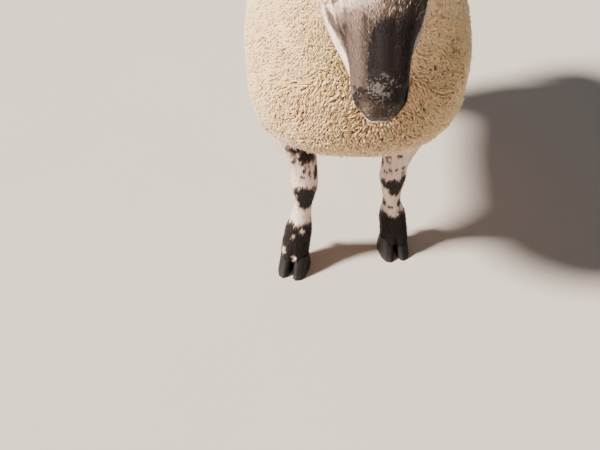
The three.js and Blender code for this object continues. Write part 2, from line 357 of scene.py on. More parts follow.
def node(tree, kind, inputs=None, **settings):
    """Adds a node. An input gets a value, or a link from an output, where a node stands for its first one."""
    made = tree.nodes.new("ShaderNode" + kind)
    for key, value in settings.items():
        setattr(made, key, value)
    for key, value in (inputs or {}).items():
        if isinstance(value, bpy.types.Node):
            value = next(output for output in value.outputs if output.enabled)
        socket = made.inputs[key]
        if isinstance(value, bpy.types.NodeSocket):
            tree.links.new(value, socket)
        else:
            socket.default_value = (*value, 1) if socket.type == "RGBA" else value
    return made


def new_material(name):
    """An empty material, and what adds a node to it."""
    material = bpy.data.materials.new(name)
    material.use_nodes = True
    material.node_tree.nodes.clear()
    return material, partial(node, material.node_tree)


def finished(material, inputs):
    """Ends a material with a Principled shader that has those inputs."""
    tree = material.node_tree
    node(tree, "OutputMaterial", {"Surface": node(tree, "BsdfPrincipled", inputs)})
    return material


def finish_piece(piece, material, slot):
    """Gives a piece its material, smooth shading, its record slot and its body."""
    piece.data.materials.clear()
    piece.data.materials.append(material)
    piece.data.polygons.foreach_set("use_smooth", np.ones(len(piece.data.polygons), bool))
    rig.slot(piece, slot)
    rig.ride(piece, "root")


# ---------------- what the panel shows


class FleeceSettings(bpy.types.PropertyGroup):
    """The wool of her body, neck, tail and thighs."""

    depth: length("Depth", 9 * MM, "From the skin to the tips of the wool on her back")
    front_spacing: length("Front spacing", 2.9 * MM, "From one lock to the next on her neck and breast")
    back_spacing: length("Back spacing", 4.7 * MM, "From one lock to the next on her quarters")
    width: length("Lock width", 7.9 * MM, "The thickest part of a lock on her quarters")
    fullness: number("Fullness", 1.3, "How far the breast's wool stands out, as a share of its depth", 1)
    lay: length("Lay", 15 * MM, "How far the tip of a lock lies over on her quarters")
    tip: colour("Tips", "#FFC892", "Clean wool at the tips")
    # darker than the tips: painted shade deep in the fleece
    root: colour("Roots", "#E3B78E", "Wool deep in the fleece")
    stain: colour("Grease", "#F2CB86", "Yellow yolk in the wool")


class HairSettings(bpy.types.PropertyGroup):
    """The short hair of her face, ears and legs."""

    face_length: length("Face hair", 7 * MM, "Length of the hair on the face")
    leg_length: length("Leg hair", 10 * MM, "Length of the hair on the legs")
    face_spacing: length("Face spacing", 2.1 * MM, "From one tuft to the next on the face and ears")
    leg_spacing: length("Leg spacing", 3.1 * MM, "From one tuft to the next on the legs")
    white: colour("White hair", "#F2DCCD", "The white of the face and legs")
    black: colour("Black hair", "#110504", "The black of the muzzle, patches and feet")
    roan: colour("Roan", "#806A5D", "Where black and white hairs mix")
    dust: colour("Dust", "#918A82", "Dry earth on the nose")
    pink: colour("Pink skin", "#7E5D54", "Bare skin of the lips and in the ears")


class EyeSettings(bpy.types.PropertyGroup):
    """Her eyes."""

    iris: colour("Iris", "#5E431F", "The amber ring round the pupil")
    rim: colour("Rim", "#2A1A10", "The dark edge of the iris")
    pupil: colour("Pupil", "#060505", "The level slot of the pupil")


class HoofSettings(bpy.types.PropertyGroup):
    """Her hooves."""

    voxel: length("Grain", 1.5 * MM, "Mesh size of a claw")
    horn: colour("Horn", "#171313", "The horn of the claws")
    worn: colour("Worn horn", "#332D2B", "Horn scuffed by the ground")


class StageSettings(bpy.types.PropertyGroup):
    """The floor, the lights and the camera."""

    floor: colour("Floor", "#BDB5AD", "The studio floor")
    key: number("Key light", 15.5, "Strength of the main light")
    fill: number("Fill light", 0.24, "Strength of the light from all round")


class EweSettings(bpy.types.PropertyGroup):
    """All the settings of the ewe."""

    fleece: PointerProperty(type=FleeceSettings)
    hair: PointerProperty(type=HairSettings)
    eye: PointerProperty(type=EyeSettings)
    hoof: PointerProperty(type=HoofSettings)
    stage: PointerProperty(type=StageSettings)
    seed: IntProperty(name="Seed", description="Starts every random draw", default=7)


# ---------------- where she has wool, and her markings, with some painted shade and sheen on the face

FORE_HEM, HIND_HEM = 358 * MM, 335 * MM  # the wool ends on the legs at these heights
FACE_EDGE = max(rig.box("head")[1].y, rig.box("lower_jaw")[1].y)  # the neck's wool starts behind it
FORE_LEGS_END = 100 * MM  # the forelegs stand ahead of this
SHIN_TOP = 345 * MM  # the skin's mesh is fine below this height
WOOL_FACES, SHIN_FACES = 14000, 27000  # how many of the skin's faces are under the wool, and on the shins


def nearest_of(names, points):
    """How far each point is from those nodes."""
    mesh = copy_of(names)
    tree = BVHTree.FromPolygons([v.co for v in mesh.vertices], [p.vertices for p in mesh.polygons])
    bpy.data.meshes.remove(mesh)
    return np.array([tree.find_nearest(Vector(p))[3] for p in points])


def regions(points):
    """For each point 1 where it is of the fleece, of an ear, or of a leg below the wool, and otherwise 0."""
    bare = nearest_of(["head", "lower_jaw", "ear_left", "ear_right"], points)
    ears = nearest_of(["ear_left", "ear_right"], points)
    legs = nearest_of([n for n in FLESH if n.endswith("_leg")], points)
    wool = nearest_of(["trunk", "neck", "tail"], points)
    ragged = 6 * roughly(points, 17 * MM, 30) + 2.5 * roughly(points, 5 * MM, 31)
    hem = np.where(points[:, 1] < FORE_LEGS_END, FORE_HEM, HIND_HEM) + ragged * MM
    leg = (legs < wool) & (points[:, 2] < hem)
    face = (bare < wool) & (points[:, 1] < 0)
    ear = (ears <= bare + 0.1 * MM) & face
    return (~leg & ~face).astype(float), ear.astype(float), leg.astype(float)


def leg_middle(leg):
    """The middle of a leg's lower half."""
    return middle_of(f"{leg}_lower_leg")


# Patches of each leg, in mm: where one lies from the leg's middle and its height, and its half sizes.
BLACK_PATCHES = {
    "fore_right": (
        ((13, -2, 203), (27, 30, 22)), ((16, -2, 186), (22, 30, 27)), ((17, -9, 304), (19, 30, 22)),
        ((-7, -14, 318), (20, 16, 7)), ((-14, -11, 336), (4, 8, 6)), ((-9, -15, 287), (9, 9, 3)),
        ((4, -16, 281), (6, 9, 4)), ((17, -14, 276), (6, 8, 4)), ((34, 1, 254), (6, 12, 17)),
        ((10, -15, 265), (5, 8, 5)), ((21, -13, 259), (4, 8, 4)), ((8, -15, 249), (5, 8, 4)),
        ((30, -5, 122), (8, 14, 14)),
    ),
    "fore_left": (
        ((-10, -24, 206), (25, 28, 17)), ((-3, -24, 190), (15, 22, 20)), ((9, -26, 220), (9, 16, 9)),
        ((-7, -16, 130), (7, 8, 3)), ((10, -8, 140), (5, 12, 14)), ((-25, -36, 286), (8, 10, 8)),
        ((-24, -10, 138), (5, 10, 12)), ((-25, -38, 270), (6, 8, 5)), ((-34, -18, 257), (4, 9, 12)),
        ((-20, -38, 250), (4, 6, 4)), ((-28, -32, 241), (4, 6, 4)), ((-7, -50, 310), (5, 10, 8)),
        ((0, -51, 320), (6, 10, 4)), ((-3, -49, 291), (3, 6, 4)), ((6, -39, 256), (4, 8, 4)),
        ((7, -35, 240), (5, 8, 4)),
    ),
    "hind_left": (((4, -20, 268), (24, 22, 26)), ((-14, 10, 312), (14, 30, 15))),
    "hind_right": (((-3, -18, 260), (24, 26, 30)), ((-16, 16, 196), (12, 14, 13))),
}
WHITE_PATCHES = {
    "fore_right": (
        ((7, -10, 100), (8, 9, 5)), ((-13, -12, 88), (4, 8, 4)), ((-33, -18, 53), (4, 8, 8)),
        ((-9, -35, 43), (4, 8, 6)),
    ),
    "fore_left": (((4, -14, 106), (10, 9, 5)),),
    "hind_left": (((2, -12, 110), (7, 9, 6)),),
    "hind_right": (((12, -10, 98), (6, 9, 5)),),
}
BLACK_FEET = {"fore_left": 111 * MM, "fore_right": 113 * MM, "hind_left": 128 * MM, "hind_right": 120 * MM}


def patched(points, patches, broken):
    """How far each point is within the nearest of those patches, from 0 to 1, with broken edges."""
    most = np.zeros(len(points))
    for leg, places in patches.items():
        for place, size in places:
            centre = leg_middle(leg) * [1, 1, 0] + np.array(place) * MM
            reach = norm((points - centre) / (np.array(size) * MM))
            most = np.maximum(most, ramp(reach + broken * min(1.0, size[2] / 12), 1.1, 0.9))
    return most


def leg_markings(points):
    """How black the hair is on the legs, from 0 to 1."""
    broken = roughly(points, 9 * MM, 1) * 0.22 + roughly(points, 3.5 * MM, 2) * 0.12
    black = np.zeros(len(points))
    for leg in LEGS:
        middle = leg_middle(leg)
        near = norm((points - middle)[:, :2]) < 90 * MM
        foot = ramp(points[:, 2] + broken * 28 * MM, BLACK_FEET[leg] + 4 * MM, BLACK_FEET[leg] - 4 * MM)
        black = np.maximum(black, foot * near)
    black = np.maximum(black, patched(points, BLACK_PATCHES, broken))
    black = black * (1 - 0.85 * patched(points, WHITE_PATCHES, broken))
    flecks = roughly(points, 7 * MM, 3) + 0.5 * roughly(points, 3 * MM, 4)
    band = ramp(points[:, 2], 235 * MM, 250 * MM)
    return np.maximum(black, ramp(flecks, 1.05, 1.2) * band)


def head_markings(points):
    """How black the head's hair is, with painted shade and a painted sheen on the face, how pink its skin and how
    dusty the nose, each from 0 to 1.
    """
    along, out, up = in_head(points).T / MM  # every place below is in mm, in the head's own frame
    broken = roughly(points, 12 * MM, 5) * 4 + roughly(points, 4 * MM, 6) * 2
    side = np.abs(out)
    bridge = np.clip(0.5 + (115 + 0.5 * out - along - broken * 1.5) / 58, 0, 1)
    bridge = bridge * ramp(side + broken * 0.8, 25, 15) * ramp(up, 4, 14)
    muzzle = ramp(along + broken, 27, 20)
    dark_cheek = ramp(out + broken * 0.5, 8, 13) * ramp(along + broken * 2, 146, 118)
    dark_cheek = dark_cheek * (0.95 - 0.15 * ramp(along, 88, 112))
    # Her right cheek, on the key light's side, is grey: roan hairs with a painted sheen of light on black hair.
    roan_and_sheen_cheek = ramp(-out + broken * 0.5, 14, 19) * ramp(along + broken * 2, 140, 90)
    # Painted highlight: the grey is paler along the ridge beside the bridge. Painted shadow: it is darker beside the
    # jaw's white band. It is also darker towards the bridge.
    ridge = ramp(np.abs(side - 30), 9, 2) * ramp(along, 75, 95)
    roan_and_sheen_cheek = roan_and_sheen_cheek * (0.74 - 0.13 * ridge + 0.17 * ramp(side, 38, 48) + 0.14 * ramp(side, 31, 17))
    patch = norm((np.stack([along, side, up], 1) - [150, 52, 26]) / [31, 30, 27])
    eye_patch = ramp(patch + broken * 0.03 + 0.3 * (out < 0), 1.12, 0.94)
    black = np.maximum.reduce([bridge, muzzle, dark_cheek, roan_and_sheen_cheek, eye_patch])
    edge = up + 0.13 * np.maximum(along - 60, 0) + broken * 0.3
    jaw = ramp(edge, -17, -23) * ramp(along, 34, 48) + ramp(up + broken * 0.3, -21, -25)
    # Painted shadow: a dark line along the crease between the skull's side and the jaw.
    crease_shadow = ramp(np.abs(edge + 18.5), 5, 1.5) * ramp(along, 50, 75) * ramp(along, 165, 140)
    # Painted shade: on her left, the side away from the key light, the jaw's white clears only part of the black.
    black = np.maximum(black * (1 - np.clip(jaw, 0, 1) * np.where(out > 0, 0.7, 1)), 0.75 * crease_shadow)
    lips = ramp(along + broken * 0.6, -1, -9) * ramp(np.abs(up - 2 + broken), 10, 2)
    lips = lips * ramp(np.abs(side - 11 + broken), 11, 2) * ramp(roughly(points, 5 * MM, 21), -0.1, 0.6)
    mottled = ramp(np.hypot((along - 4) / 15, (out + 22) / 15) + roughly(points, 3 * MM, 12) * 0.5, 1.1, 0.2)
    black = black * (1 - 0.3 * lips) * (1 - 0.13 * mottled) * (1 - 0.12 * ramp(along, 8, -3))
    pink = np.maximum(0.2 * lips, ramp(along, 8, 0) * ramp(np.abs(up + 24), 5, 3) * 0.5)
    streaks = roughly(points, 2.4 * MM, 7) + 0.7 * roughly(points * [0.5, 1, 1], 7 * MM, 10)
    smear = norm(np.stack([(along - 17) / 11, (out + 5) / 19], 1))
    dust = 0.75 * ramp(smear + 1.2 * streaks, 0.7, 0.1) * ramp(up, 14, 22)
    return black, pink, dust


def ear_markings(points):
    """How black the hair is on the ears: black towards the tip and mottled with white."""
    side = np.abs(points[:, 0] - BETWEEN_EYES[0])
    tip = ramp(side + roughly(points, 14 * MM, 8) * 14 * MM, 70 * MM, 84 * MM)
    return np.maximum(tip, ramp(roughly(points, 9 * MM, 9), 0.1, 0.35))


# ---------------- the skin


def outer_form():
    """Her whole outline as one closed surface: fine on the head, ears and feet, coarse under the wool."""
    piece = link("skin", copy_of(FLESH + EYEBALLS, swell=0.6 * MM))
    applied(piece, "REMESH", mode="VOXEL", voxel_size=2.8 * MM)
    for shins, kept in ((False, WOOL_FACES), (True, SHIN_FACES)):
        surface = Surface(piece.data)
        y, z = surface.points.T[1:]
        part = z < SHIN_TOP if shins else (z > SHIN_TOP) & (y > FACE_EDGE + 25 * MM)
        faces, inside = len(surface.faces), part[surface.faces].all(axis=1).sum()
        group = piece.vertex_groups.new(name="thin_out")
        group.add(np.nonzero(part)[0].tolist(), 1.0, "REPLACE")
        applied(
            piece, "DECIMATE", decimate_type="COLLAPSE", vertex_group=group.name,
            ratio=(faces - inside + kept) / faces,
        )
        piece.vertex_groups.clear()
    return piece


def refine(piece, middle, reach):
    """Splits the faces round a place into smaller ones."""
    bm = bmesh.new()
    bm.from_mesh(piece.data)
    bmesh.ops.triangulate(bm, faces=bm.faces)
    near = [f for f in bm.faces if (f.calc_center_median() - Vector(middle)).length < reach]
    edges = list({e for f in near for e in f.edges})
    bmesh.ops.subdivide_edges(bm, edges=edges, cuts=1, use_grid_fill=True)
    bmesh.ops.triangulate(bm, faces=bm.faces)
    bm.to_mesh(piece.data)
    bm.free()


def tube_weight(points, path, radius):
    """1 on a path to 0 at that radius from it, with a soft edge, for points and paths in the head's frame."""
    nearest = np.full(len(points), np.inf)
    for start, end in zip(path[:-1], path[1:]):
        start, end = np.array(start, float), np.array(end, float)
        run = end - start
        t = np.clip((points - start) @ run / (run @ run), 0, 1)
        nearest = np.minimum(nearest, norm(points - start - t[:, None] * run))
    return ramp(nearest, radius, radius * 0.15)


# Forms of the face, in the head's own frame and in mm: a path, how wide it works, and how far out it moves.
FACE_FORMS = {
    "nostril": (((-3, 10, 2), (4, 19, 6), (13, 27, 11), (23, 33, 15)), 5.5, -8.0),
    "nostril wing": (((-6, 18, -3), (2, 28, 2), (14, 36, 6)), 7.0, 1.8),
    "nostril fold": (((8, 16, 17), (20, 22, 24), (34, 28, 24)), 7.0, 1.2),
    "muzzle corner": (((-7, 29, -12), (-6, 29, 8)), 20.0, -3.0),
    "nose pad": (((-6, 0, -4), (4, 0, 12)), 10.0, 1.2),
    "philtrum": (((-12, 0, -2), (-10, 0, -10), (-8, 0, -20)), 3.0, -2.6),
    "mouth": (
        ((-9, 0, -21), (-2, 13, -22), (8, 23, -22), (24, 30, -21), (44, 35, -18), (62, 38, -13)), 3.4, -4.0
    ),
    "upper lip": (((-4, 9, -16), (8, 24, -15), (28, 33, -13)), 7.0, 1.2),
    "lower lip": (((-4, 0, -30), (6, 16, -30), (24, 27, -29)), 5.5, 1.2),
    "chin": (((12, 0, -44), (34, 0, -47)), 12.0, 1.5),
    "nose side": (((44, 34, 10), (90, 42, 12)), 18.0, -2.5),
    "bridge edge": (((44, 20, 34), (84, 23, 44), (120, 29, 54)), 9.0, 1.0),
    "tear pit": (((126, 49, 24), (116, 47, 20)), 9.0, -3.2),
    "cheek bone": (((170, 62, 6), (140, 58, 2), (108, 50, -2)), 11.0, 1.8),
    "cheek hollow": (((88, 46, -18), (112, 54, -20)), 15.0, -2.5),
    "brow": (((136, 48, 45), (152, 51, 50), (168, 52, 46)), 10.0, 2.6),
    "temple": (((182, 56, 34), (196, 52, 40)), 12.0, -2.0),
}
BARE_FORMS = ("nostril", "philtrum", "mouth")  # no hair grows in these


def sculpt_face(surface):
    """Presses the nostrils, lips, pits and ridges into the face, and gives where its skin is bare of hair."""
    normals = surface.normals()
    head = in_head(surface.points) / MM
    folded = head * [1, 0, 1] + np.abs(head) * [0, 1, 0]
    move, bare = np.zeros((2, len(head)))
    for name, (path, width, rise) in FACE_FORMS.items():
        near = norm(folded - np.mean(path, axis=0)) < 90
        weight = np.zeros(len(head))
        weight[near] = tube_weight(folded[near], path, width)
        move += weight * rise * MM
        if name in BARE_FORMS:
            bare = np.maximum(bare, weight)
    surface.points += normals * move[:, None]
    return bare


GAZE = unit(-0.30 * ALONG + 0.93 * OUT + 0.12 * UP)  # of the left eye
LID = {
    "long": math.radians(58),  # half the opening, as seen from the middle of the eyeball
    "above": math.radians(32),
    "below": math.radians(28),
    "thick": 2.1 * MM,
    "least": 0.9 * MM,  # skin over the eyeball
    "fold": 1.1 * MM,
    "socket": 0.72,  # how deep the skin lies behind the eyeball, as a share of its radius
}


def eye_axes(side):
    """The left or right eye's gaze, its axis towards the nose, and its axis towards the brow."""
    gaze = GAZE * [side, 1, 1]
    nose = unit(-ALONG + 0.10 * UP - gaze * (gaze @ (-ALONG + 0.10 * UP)))
    return gaze, nose, np.cross(gaze, nose) * side


def sculpt_lids(surface):
    """Opens an almond in the skin over each eyeball, with lids that hug it and folds around them."""
    for side, middle in EYES.items():
        gaze, nose, brow = eye_axes(side)
        arm = surface.points - middle
        far = norm(arm)
        ray = arm / np.maximum(far, 1e-9)[:, None]
        near = (far < EYE_RADIUS * 2.3) & (ray @ gaze > 0.05)
        ray, far = ray[near], far[near]
        away = ray - np.outer(ray @ gaze, gaze)
        angle = np.arccos(np.clip(ray @ gaze, -1, 1))[:, None] * unit(away)
        x, y = angle @ nose / LID["long"], angle @ brow
        y = y / np.where(y > 0, LID["above"], LID["below"])
        opening = np.hypot(x, y / np.sqrt(np.clip(1.04 - 0.6 * x * x, 0.3, 1)))  # 1 on the lids' edge
        lid = EYE_RADIUS + LID["thick"] * np.where(y > 0, 1.3, 0.9)
        settled = lid + (far - lid) * ramp(opening, 1.2, 1.85)
        settled -= LID["fold"] * ramp(np.abs(opening - 1.38), 0.16, 0.02) * ramp(y, -1.6, -0.6)
        settled += LID["fold"] * 0.5 * ramp(np.abs(opening - 1.06), 0.12, 0.02)
        settled = np.maximum(settled, EYE_RADIUS + LID["least"])
        sunk = EYE_RADIUS * LID["socket"]
        reach = sunk + (settled - sunk) * ramp(opening, 0.88, 0.99)
        surface.points[near] = middle + ray * reach[:, None]


def foot_axis(leg):
    """The level direction in which a foot's toes point, and the middle of its two claws."""
    soles = []
    for claw in ("inner", "outer"):
        mesh = frame["nodes"][f"{leg}_hoof_{claw}"].data
        points = np.array([v.co for v in mesh.vertices])
        soles.append(points[points[:, 2] < 1 * MM][:, :2])
    pads = [s - s.mean(axis=0) for s in soles]
    _, _, rows = np.linalg.svd(np.concatenate(pads), full_matrices=False)
    toe = rows[0] * (-1 if rows[0][1] > 0 else 1)
    middle = (soles[0].mean(axis=0) + soles[1].mean(axis=0)) / 2
    return np.append(toe, 0), np.append(middle, 0)


def sculpt_legs(surface):
    """Sinks the cleft between the claws, and the groove before each tendon."""
    sunk = np.zeros(len(surface.points))
    for leg in LEGS:
        toe, foot = foot_axis(leg)
        middle = leg_middle(leg)
        near = norm((surface.points - middle)[:, :2]) < 110 * MM
        points = surface.points[near]
        height = points[:, 2]
        aside = np.abs((points - foot) @ [-toe[1], toe[0], 0])
        cleft = ramp(aside, 8 * MM, 1 * MM) * ramp(height, 62 * MM, 46 * MM)
        cleft = cleft * ((points - foot) @ toe > -40 * MM)
        groove = ramp(np.abs(points[:, 1] - middle[1] - 7 * MM), 6 * MM, 1 * MM)
        groove = groove * ramp(height, 110 * MM, 128 * MM) * ramp(height, 205 * MM, 180 * MM)
        sunk[near] += 5 * MM * cleft + 1.6 * MM * groove
    surface.points -= surface.normals() * sunk[:, None]


HAIR_DEPTH = 1.2 * MM
WOOL_SHARE = 0.28  # the most of a thin part that may be wool
SOLES = 2 * MM  # the skin stays this far off the floor


def sunk_under_coat(surface, wool, settings):
    """Where the outline's points lie when they are moved in by the depth of the coat."""
    normals = surface.normals()
    tree = BVHTree.FromPolygons(surface.points.tolist(), surface.faces.tolist())
    thick = np.ones(len(surface.points))
    for i in np.nonzero(wool > 0.01)[0]:
        inward = Vector(-normals[i])
        hit = tree.ray_cast(Vector(surface.points[i]) + inward * MM, inward)
        thick[i] = hit[3] if hit[0] is not None else 1.0
    behind = 0.35 + 0.65 * ramp(surface.points[:, 1], FACE_EDGE - 10 * MM, FACE_EDGE + 70 * MM)
    deep = np.minimum(settings.fleece.depth * behind, surface.averaged(thick, 6) * WOOL_SHARE)
    depth = surface.averaged(wool * deep + (1 - wool) * HAIR_DEPTH, 4)
    return surface.points - normals * depth[:, None]


MARKS = ("black", "pink", "dust", "wool")


def markings(points, normals, wool, ear, leg):
    """How black, pink, dusty and woolly each point is, from 0 to 1. The black carries some painted shade and sheen on
    the face.
    """
    on_head = points[:, 1] < FACE_EDGE + 60 * MM
    marks = np.zeros((3, len(points)))
    marks[:, on_head] = head_markings(points[on_head])
    black, pink, dust = marks * ((1 - wool) * (1 - leg) * (1 - ear))
    for mask, painted in ((leg, leg_markings), (ear, ear_markings)):
        on = mask > 0.01
        black[on] = np.maximum(black[on], painted(points[on]) * mask[on])
    inside = ramp(-normals[:, 1], 0.25, 0.7) * ear
    inside = inside * ramp(np.abs(points[:, 0] - BETWEEN_EYES[0]), 108 * MM, 72 * MM)
    return dict(zip(MARKS, (black * (1 - 0.35 * inside), np.maximum(pink, 0.6 * inside), dust, wool)))


def hair_material(settings, name, bump):
    """Short hair over skin: dull, a little glossy along the hairs, and coloured by her markings, which carry some
    painted shade and sheen.
    """
    hair, fleece = settings.hair, settings.fleece
    material, add = new_material(name)
    marks = {word: add("Attribute", attribute_name=word).outputs["Fac"] for word in (*MARKS, "tone")}
    comb = add("Attribute", attribute_name="comb").outputs["Vector"]
    place = add("TexCoord").outputs["Object"]
    # clouds 26 mm across, mottling 2.4 mm, specks of earth and curls 4 mm, and hairs 0.9 mm apart,
    # which are coarser than real ones, so that they show
    broad = add("TexNoise", {"Vector": place, "Scale": 38.0, "Detail": 3.0})
    fine = add("TexNoise", {"Vector": place, "Scale": 420.0, "Detail": 4.0, "Roughness": 0.7})
    flecks = add("TexNoise", {"Vector": place, "Scale": 230.0, "Detail": 5.0, "Roughness": 0.8})
    curls = add("TexNoise", {"Vector": place, "Scale": 240.0, "Detail": 2.0, "Distortion": 1.2})
    strands = add("TexNoise", {"Vector": comb, "Scale": 1100.0, "Detail": 3.0, "Roughness": 0.6})
    # white runs through roan to black
    edge = add("Math", {0: fine, 1: -0.5}, operation="ADD")
    spread = add("Math", {0: edge, 1: 0.5, 2: marks["black"]}, operation="MULTIPLY_ADD")
    dark = add("ValToRGB", {"Fac": spread})
    dark.color_ramp.elements[0].position, dark.color_ramp.elements[1].position = 0.05, 0.95
    half = add("Math", {0: dark, 1: 2.0}, operation="MULTIPLY", use_clamp=True)
    rest = add("Math", {0: dark, 1: 2.0, 2: -1.0}, operation="MULTIPLY_ADD", use_clamp=True)
    dusty = add("Math", {0: flecks, 1: marks["dust"]}, operation="MULTIPLY")
    matted = add("Mix", {"Factor": curls, "A": fleece.root, "B": fleece.tip}, data_type="RGBA")
    coat = [c * 0.82 for c in hair.white]
    for share, over in (
        (broad, hair.white), (half, hair.roan), (rest, hair.black), (dusty, hair.dust),
        (marks["pink"], hair.pink), (marks["wool"], matted),
    ):
        coat = add("Mix", {"Factor": share, "A": coat, "B": over}, data_type="RGBA")
    each = {"Value": strands, "From Min": 0.3, "From Max": 0.7, "To Min": 0.84, "To Max": 1.12}
    lit = add("Math", {0: add("MapRange", each), 1: marks["tone"]}, operation="MULTIPLY")
    toned = add("HueSaturation", {"Color": coat, "Value": lit})
    woolly = add("Math", {0: curls, 1: marks["wool"]}, operation="MULTIPLY")
    rough = add("Math", {0: woolly, 1: 6.0, 2: strands}, operation="MULTIPLY_ADD")
    relief = add("Bump", {"Strength": bump, "Distance": 0.6 * MM, "Height": rough})
    gloss = {"Roughness": 0.55, "Specular IOR Level": 0.22, "Sheen Weight": 0.03, "Sheen Roughness": 0.4}
    return finished(material, {"Base Color": toned, "Normal": relief, **gloss})


class EWE_OT_skin(bpy.types.Operator):
    """One skin in place of every node of flesh, sunk under the coat, with the face, lids and legs modelled"""

    bl_idname = "ewe.skin"
    bl_label = "Skin"

    def execute(self, context):
        settings = context.scene.ewe
        piece = outer_form()
        refine(piece, from_head(70 * MM, 0, 5 * MM), 96 * MM)
        refine(piece, from_head(8 * MM, 0, -2 * MM), 40 * MM)
        for middle in EYES.values():
            refine(piece, middle, 26 * MM)
        surface = Surface(piece.data)
        wool, ear, leg = regions(surface.points)
        surface.smooth(24, 0.5 * surface.averaged(wool, 8) ** 4)
        surface.smooth(3, 0.4)
        outline = surface.points.copy()
        wool, ear, leg = (surface.averaged(mask, 3) for mask in (wool, ear, leg))
        surface.points = sunk_under_coat(surface, wool, settings)
        surface.smooth(4, 0.4 * wool)
        muzzle = ramp(in_head(surface.points)[:, 0] / MM, 34, 10) * (surface.points[:, 1] < FACE_EDGE)
        surface.smooth(30, 0.5 * muzzle)
        bare = sculpt_face(surface)
        sculpt_lids(surface)
        sculpt_legs(surface)
        surface.points[:, 2] = np.maximum(surface.points[:, 2], SOLES)
        surface.store()
        normals = surface.normals()
        lie = lie_of_hair(surface.points, normals, ear, leg)
        along_hair = np.einsum("nd,nd->n", surface.points, lie)[:, None] * lie
        kept = {
            **markings(outline, normals, wool, ear, leg),
            "bare": bare,
            "ear": ear,
            "leg": leg,
            # Painted shade: the nostrils, the philtrum's groove and the mouth's line, bare of hair, are darkened to a
            # quarter.
            "tone": 1 - 0.75 * bare,
            "comb": surface.points - 0.8 * along_hair,  # drawn out, so that noise on it runs along the hair
            "outline": outline,
        }
        for name, values in kept.items():
            paint(piece.data, name, values)
        unwrap(piece)
        finish_piece(piece, hair_material(settings, "short_hair_and_skin", 0.7), "white_hair")
        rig.replaces(piece, *FLESH)
        return {"FINISHED"}


def unwrap(piece):
    """Lays the skin out flat, so that each tuft knows its place on it."""
    bpy.context.view_layer.objects.active = piece
    piece.select_set(True)
    bpy.ops.object.mode_set(mode="EDIT")
    bpy.ops.mesh.select_all(action="SELECT")
    bpy.ops.uv.smart_project(angle_limit=math.radians(66), island_margin=0.002)
    bpy.ops.object.mode_set(mode="OBJECT")
    piece.select_set(False)


# ---------------- tufts


def tuft_form(sides, levels):
    """Points and faces of a closed tuft: x and y on the unit circle, z from 0 at the root to 1 at the tip."""
    bm = bmesh.new()
    bmesh.ops.create_circle(bm, cap_ends=True, segments=sides, radius=1)
    edges = list(bm.edges)
    for level in levels:
        made = bmesh.ops.extrude_edge_only(bm, edges=edges)["geom"]
        ring = [g for g in made if isinstance(g, bmesh.types.BMVert)]
        edges = [g for g in made if isinstance(g, bmesh.types.BMEdge) and set(g.verts) <= set(ring)]
        for vert in ring:
            vert.co.z = level
    bmesh.ops.pointmerge(bm, verts=ring, merge_co=(0, 0, 1))
    bmesh.ops.triangulate(bm, faces=bm.faces)
    bmesh.ops.recalc_face_normals(bm, faces=bm.faces)
    bm.verts.index_update()
    points = np.array([v.co for v in bm.verts])
    faces = np.array([[v.index for v in f.verts] for f in bm.faces])
    bm.free()
    return points, faces


PATCH = 0.003  # the size of a tuft's patch on the flat map of the skin
GOLDEN = 0.6180339  # steps of it spread evenly, so that neighbours get unlike fibres
TRIES = 5  # places tried for each tuft that there is room for


class Spots:
    """Places on the skin where tufts grow."""

    def __init__(self, surface, where, spacing, rng):
        """where says for each vertex if tufts grow there, and spacing how far apart they are."""
        outline = read(surface.mesh, "outline")
        a, b, c = outline[surface.faces.T]
        area = norm(np.cross(b - a, c - a)) / 2 * where[surface.faces].mean(axis=1)
        wanted = area / spacing[surface.faces].mean(axis=1) ** 2
        tries = int(wanted.sum() * TRIES)
        face = rng.choice(len(area), tries, p=wanted / wanted.sum())
        u, v = rng.random((2, tries))
        u, v = np.where(u + v > 1, 1 - u, u), np.where(u + v > 1, 1 - v, v)
        shares = np.stack([1 - u - v, u, v], axis=1)
        tips = np.einsum("nk,nkd->nd", shares, outline[surface.faces[face]])
        gap = np.einsum("nk,nk->n", shares, spacing[surface.faces[face]])
        keep = self.apart(tips, gap)
        self.face, self.shares, self.outline, self.gap = face[keep], shares[keep], tips[keep], gap[keep]
        self.corners = surface.faces[self.face]
        self.root = self.mixed(surface.points)
        self.normal = unit(self.mixed(surface.normals()))
        flat = table(surface.mesh.uv_layers[0].data, "uv", 2)
        self.flat = np.einsum("nk,nkd->nd", self.shares, flat[surface.corners[self.face]])
        self.count = len(self.face)

    @staticmethod
    def apart(points, gap):
        """Which points to keep so that none has another nearer than its own gap."""
        tree = KDTree(len(points))
        for i, point in enumerate(points):
            tree.insert(point, i)
        tree.balance()
        alive = np.ones(len(points), bool)
        for i, point in enumerate(points):
            if alive[i]:
                for _, j, _ in tree.find_range(point, gap[i]):
                    if j > i:
                        alive[j] = False
        return np.nonzero(alive)[0]

    def mixed(self, values):
        """Values of the vertices, at the spots."""
        return np.einsum("nk,nk...->n...", self.shares, values[self.corners])

    def only(self, keep):
        """The spots that a mask keeps."""
        part = object.__new__(Spots)
        for key, value in self.__dict__.items():
            setattr(part, key, value[keep] if isinstance(value, np.ndarray) else value)
        part.count = int(np.sum(keep))
        return part


